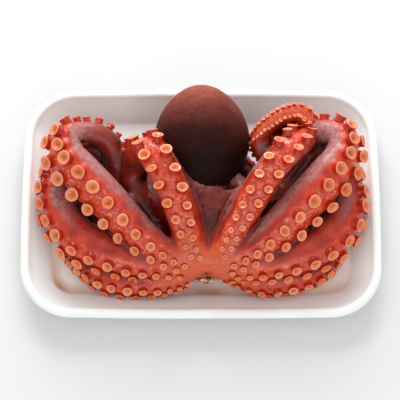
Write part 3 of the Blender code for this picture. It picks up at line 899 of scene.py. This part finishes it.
def foam_finish():
    """Expanded polystyrene sheet, thermoformed: matt white with a faint cell grain, tinted
    brown in soft clouds, more towards the front of the floor and in marks along its edge."""
    made, tree, shader = new_finish("expanded polystyrene foam", 0.55, 1.45)
    where = node(tree, "TexCoord", out="Object")
    cells = node(tree, "TexVoronoi", out="Distance", Vector=where, Scale=700.0)
    cloud = node(tree, "TexNoise", out="Fac", Vector=where, Scale=24.0, Detail=3.0)
    damp = node(tree, "Math", PLUS_TIMES, i0=cloud, i1=0.7,
                i2=node(tree, "Attribute", {"attribute_name": "damp"}, out="Fac"))
    share = node(tree, "Math", TIMES, i0=damp, i1=0.6)
    colour = node(tree, "ValToRGB", {"stops": ((0.2, "#f0f6f5"), (0.5, "#e3cfc4"),
                                               (0.9, "#b98f72"))}, Fac=share)
    tree.links.new(colour, shader.inputs["Base Color"])
    bump = node(tree, "Bump", Height=cells, Strength=0.08, Distance=0.0002)
    tree.links.new(bump, shader.inputs["Normal"])
    return made


def skin_finish():
    """Boiled octopus skin: mauve and leathery on the back, the mauve partly painted sheen where
    the skin faces up and back; saturated red on the flanks and under the suckers, wet pink
    between them with painted highlights, and orange round the mouth. The depths of the webs,
    the hollows and the curled-in arm ends get painted shade."""
    made, tree, shader = new_finish("boiled octopus skin", 0.4)
    where = node(tree, "TexCoord", out="Object")
    zones = {name: node(tree, "Attribute", {"attribute_name": name}, out="Fac")
             for name in ("belly", "mouth", "thin", "foot", "dusk", "web", "crease")}
    pores = node(tree, "TexNoise", out="Fac", Vector=where, Scale=260.0, Detail=4.0,
                 Roughness=0.6)
    broad = node(tree, "TexNoise", out="Fac", Vector=where, Scale=60.0, Detail=3.0)
    lumps = node(tree, "TexNoise", out="Fac", Vector=where, Scale=330.0, Detail=1.0)
    flank = node(tree, "ValToRGB", {"stops": ((0.3, "#94200e"), (0.5, "#b42c13"),
                                              (0.72, "#cd4a2c"))}, Fac=broad)
    back = node(tree, "ValToRGB", {"stops": ((0.3, "#451a18"), (0.5, "#64302d"),
                                             (0.72, "#8a524e"))}, Fac=pores)
    mauve = node(tree, "ValToRGB", {"stops": ((0.3, "#925450"), (0.5, "#a86b68"),
                                              (0.72, "#bd8785"))}, Fac=pores)
    # Wet pink between the sucker rows; its palest stop is a painted highlight of wet glints.
    wet = node(tree, "ValToRGB", {"stops": ((0.3, "#c02f12"), (0.5, "#d44828"),
                                            (0.7, "#da826c"))}, Fac=lumps)
    # Dark red for the depths of the webs and the curled-in arm ends: painted shade.
    valley_shade = node(tree, "ValToRGB", {"stops": ((0.35, "#5e140c"), (0.65, "#8a2412"))},
                  Fac=broad)
    patchy = node(tree, "Math", PLUS_TIMES, i0=broad, i1=0.5, i2=zones["belly"])
    is_back = node(tree, "ValToRGB", {"stops": ((0.0, 1.0), (0.35, 0.0))},
                   Fac=node(tree, "Math", {"operation": "ADD"}, i0=patchy, i1=0.45))
    is_wet = node(tree, "ValToRGB", {"stops": ((0.85, 0.0), (1.1, 1.0))}, Fac=patchy)
    near_mouth = node(tree, "ValToRGB", {"stops": ((0.1, 0.0), (0.6, 1.0))},
                      Fac=node(tree, "Math", TIMES, i0=zones["mouth"],
                               i1=node(tree, "ValToRGB", {"stops": ((0.4, 0.0), (0.9, 1.0))},
                                       Fac=patchy)))
    colour = node(tree, "Mix", BLEND, out=2, i0=is_back, i6=flank, i7=back)
    colour = node(tree, "Mix", BLEND, out=2, i0=is_wet, i6=colour, i7=wet)
    colour = node(tree, "Mix", BLEND, out=2, i0=zones["web"], i6=colour, i7=valley_shade)
    # Mauve, partly own colour and partly painted sheen where the skin faces the light from
    # behind.
    colour = node(tree, "Mix", BLEND, out=2, i0=zones["dusk"], i6=colour, i7=mauve)
    colour = node(tree, "Mix", BLEND, out=2, i0=zones["foot"], i6=colour,
                  i7=linear("#c8340f"))
    colour = node(tree, "Mix", BLEND, out=2, i6=colour, i7=linear("#d0532a"),
                  i0=node(tree, "Math", TIMES, i0=zones["thin"], i1=is_wet))
    colour = node(tree, "Mix", BLEND, out=2, i0=near_mouth, i6=colour, i7=linear("#cd5530"))
    # Painted shade in the hollows: the colour is multiplied by a dark red there.
    shade = node(tree, "Math", TIMES, i0=zones["crease"], i1=0.9)
    colour = node(tree, "Mix", {**BLEND, "blend_type": "MULTIPLY"}, out=2, i0=shade,
                  i6=colour, i7=linear("#a8463c"))
    tree.links.new(colour, shader.inputs["Base Color"])
    fine = node(tree, "TexNoise", out="Fac", Vector=where, Scale=700.0, Detail=3.0)
    height = node(tree, "Math", {"operation": "ADD"}, i0=pores, i1=fine)
    leathery = node(tree, "ValToRGB", {"stops": ((0.0, 0.3), (0.5, 0.06))}, Fac=is_wet)
    bump = node(tree, "Bump", Height=height, Strength=leathery, Distance=0.0006)
    tree.links.new(bump, shader.inputs["Normal"])
    rough = node(tree, "ValToRGB", {"stops": ((0.3, 0.30), (0.7, 0.48))}, Fac=broad)
    rough = node(tree, "Mix", BLEND, out=2, i0=is_wet, i6=rough, i7=(0.27, 0.27, 0.27, 1.0))
    dry = node(tree, "Mix", BLEND, out=2, i0=zones["dusk"], i6=rough,
               i7=(0.55, 0.55, 0.55, 1.0))
    tree.links.new(dry, shader.inputs["Roughness"])
    moist(shader, 0.22, 0.1, 3.0)
    return made


def mantle_finish():
    """Skin of the mantle: darker and drier than the arms, with a fine leathery grain. Its
    colour runs from almost black near the arms, partly painted shade under them, to dusty rose
    at its far end, partly painted light from behind."""
    made, tree, shader = new_finish("boiled mantle skin", 0.62)
    where = node(tree, "TexCoord", out="Object")
    split = node(tree, "SeparateXYZ", out="Y", Vector=where)
    broad = node(tree, "TexNoise", out="Fac", Vector=where, Scale=60.0, Detail=4.0)
    grain = node(tree, "TexNoise", out="Fac", Vector=where, Scale=420.0, Detail=4.0,
                 Roughness=0.65)
    # Along the mantle: own dark tone, with painted shade near the arms and painted light and
    # sheen towards the far end.
    along = node(tree, "MapRange", Value=split, From_Min=0.012, From_Max=0.104)
    at = node(tree, "Math", PLUS_TIMES, i0=broad, i1=0.3, i2=along)
    tone_and_painted_light = node(tree, "ValToRGB", {"stops": (
        (0.2, "#1d0806"), (0.42, "#3a110b"), (0.6, "#64251c"), (0.8, "#964638"),
        (1.0, "#c27463"))}, Fac=node(tree, "Math", PLUS_TIMES, i0=at, i1=0.86, i2=0.0))
    speck = node(tree, "ValToRGB", {"stops": ((0.35, 0.6), (0.65, 1.0))}, Fac=grain)
    colour = node(tree, "Mix", {**BLEND, "blend_type": "MULTIPLY"}, out=2, i0=1.0, i6=tone_and_painted_light,
                  i7=speck)
    tree.links.new(colour, shader.inputs["Base Color"])
    bump = node(tree, "Bump", Height=grain, Strength=0.5, Distance=0.0007)
    tree.links.new(bump, shader.inputs["Normal"])
    shader.inputs["Specular IOR Level"].default_value = 0.15
    return made


def sucker_finish():
    """Boiled suckers: deep red stalk, pale orange face and a darker pit, partly painted shade
    in its hollow, moist. A deeper orange copy goes to suckers near the mouth, partly painted
    shade for those low ones, and to some others at random.
    """
    made, tree, shader = new_finish("boiled sucker", 0.34)
    where = node(tree, "TexCoord", out="Object")
    along = node(tree, "Attribute", {"attribute_name": "along"}, out="Fac")
    fine = node(tree, "TexNoise", out="Fac", Vector=where, Scale=600.0, Detail=3.0)
    # Darker towards the middle of the cup: partly painted shade in the pit.
    plain = node(tree, "ValToRGB", {"stops": (
        (0.12, "#b0260c"), (0.28, "#be3214"), (0.38, "#d3583a"), (0.46, "#e79a80"),
        (0.60, "#eb946c"), (0.74, "#e27b42"), (0.9, "#ca612b"), (1.0, "#a95526"))},
        Fac=along)
    deep = node(tree, "ValToRGB", {"stops": (
        (0.12, "#b0260c"), (0.28, "#bd2e0e"), (0.38, "#cd4722"), (0.46, "#e27a4e"),
        (0.60, "#e47741"), (0.74, "#da6529"), (0.9, "#c2531c"), (1.0, "#9c481c"))},
        Fac=along)
    # Suckers near the mouth, and some at random, get the deeper copy; near the mouth it is
    # partly painted shade.
    mouth = node(tree, "Attribute", {"attribute_name": "mouth"}, out="Fac")
    tone = node(tree, "Attribute", {"attribute_name": "tone"}, out="Fac")
    choose = node(tree, "Math", {**PLUS_TIMES, "use_clamp": True}, i0=mouth, i1=1.1, i2=tone)
    share = node(tree, "Math", TIMES, i0=choose, i1=0.8)
    colour = node(tree, "Mix", BLEND, out=2, i0=share, i6=plain, i7=deep)
    tree.links.new(colour, shader.inputs["Base Color"])
    bump = node(tree, "Bump", Height=fine, Strength=0.15, Distance=0.0004)
    tree.links.new(bump, shader.inputs["Normal"])
    moist(shader, 0.4, 0.12, 2.5)
    return made


def eye_finish():
    """A cooked eye: clouded grey-white, glossy."""
    made, tree, shader = new_finish("cooked eye", 0.18)
    where = node(tree, "TexCoord", out="Object")
    haze = node(tree, "TexNoise", out="Fac", Vector=where, Scale=300.0, Detail=3.0)
    colour = node(tree, "ValToRGB", {"stops": ((0.35, "#4a3a3a"), (0.65, "#9c8c88"))},
                  Fac=haze)
    tree.links.new(colour, shader.inputs["Base Color"])
    moist(shader, 0.8, 0.05, 1.0)
    return made


def lip_finish():
    """The membrane round the mouth: thin, pale pink and ragged, with brown in its folds."""
    made, tree, shader = new_finish("boiled mouth membrane", 0.35)
    where = node(tree, "TexCoord", out="Object")
    folds = node(tree, "TexNoise", out="Fac", Vector=where, Scale=420.0, Detail=4.0)
    colour = node(tree, "ValToRGB", {"stops": ((0.36, "#7a3a2c"), (0.5, "#c9856d"),
                                               (0.66, "#dcb8a8"))}, Fac=folds)
    tree.links.new(colour, shader.inputs["Base Color"])
    bump = node(tree, "Bump", Height=folds, Strength=0.5, Distance=0.0008)
    tree.links.new(bump, shader.inputs["Normal"])
    moist(shader, 0.4, 0.12, 1.5)
    return made


def beak_finish():
    """Beak: chitin, mottled in bands from nearly black to slate grey."""
    made, tree, shader = new_finish("chitin beak", 0.25, 1.55)
    where = node(tree, "TexCoord", out="Object")
    bands = node(tree, "TexNoise", out="Fac", Vector=where, Scale=260.0, Detail=2.0)
    colour = node(tree, "ValToRGB", {"stops": ((0.4, "#15100f"), (0.6, "#3a3f49"))},
                  Fac=bands)
    tree.links.new(colour, shader.inputs["Base Color"])
    return made


# --- room -------------------------------------------------------------------------------

def build_camera():
    """Looks down at the mouth side from 70 degrees above the table."""
    lift = math.radians(CAMERA_LIFT)
    ahead = Vector((0.0, math.cos(lift), -math.sin(lift)))
    up = Vector((0.0, math.sin(lift), math.cos(lift)))
    right = Vector((1.0, 0.0, 0.0))
    lens = bpy.data.cameras.new("camera")
    lens.sensor_width = 36.0
    lens.lens = CAMERA_DISTANCE / FRAME_WIDTH * lens.sensor_width
    lens.shift_x = -1 / 400
    lens.shift_y = 1 / 400
    camera = bpy.data.objects.new("camera", lens)
    bpy.context.scene.collection.objects.link(camera)
    turn = Matrix((right, up, -ahead)).transposed().to_4x4()
    camera.matrix_world = Matrix.Translation(Vector(AIM) - ahead * CAMERA_DISTANCE) @ turn
    bpy.context.scene.camera = camera


def soft_box(name, place, size, power, aim=(0.0, 0.0, 0.02), colour="#ffffff"):
    light = bpy.data.lights.new(name, "AREA")
    light.shape = "RECTANGLE"
    light.size, light.size_y = size
    light.energy = power
    light.color = linear(colour)[:3]
    made = bpy.data.objects.new(name, light)
    bpy.context.scene.collection.objects.link(made)
    made.location = place
    made.rotation_euler = (Vector(aim) - Vector(place)).to_track_quat("-Z", "Y").to_euler()


def build_room():
    bm = bmesh.new()
    bmesh.ops.create_grid(bm, x_segments=1, y_segments=1, size=3000.0)
    mesh = mesh_from(bm, "table")
    table = bpy.data.objects.new("table", mesh)
    bpy.context.scene.collection.objects.link(table)
    made, _, shader = new_finish("white table", 0.7)
    shader.inputs["Base Color"].default_value = linear("#dcdcdc")
    mesh.materials.append(made)
    soft_box("window behind", (-0.12, 1.5, 0.85), (1.3, 0.8), 30.0)
    soft_box("front fill", (0.1, -1.2, 0.9), (1.4, 1.0), 5.8)
    world = bpy.data.worlds.new("room")
    bpy.context.scene.world = world
    world.use_nodes = True
    back = world.node_tree.nodes["Background"]
    back.inputs["Color"].default_value = (1.0, 1.0, 1.0, 1.0)
    back.inputs["Strength"].default_value = 0.79
    bpy.context.scene.view_settings.view_transform = "Standard"


def main():
    build_camera()
    build_room()
    spots = all_suckers()
    print("suckers", len(spots))
    build_tray()
    build_skin(spots)
    build_mantle()
    build_suckers(spots)
    build_eyes()
    build_mouth()


main()
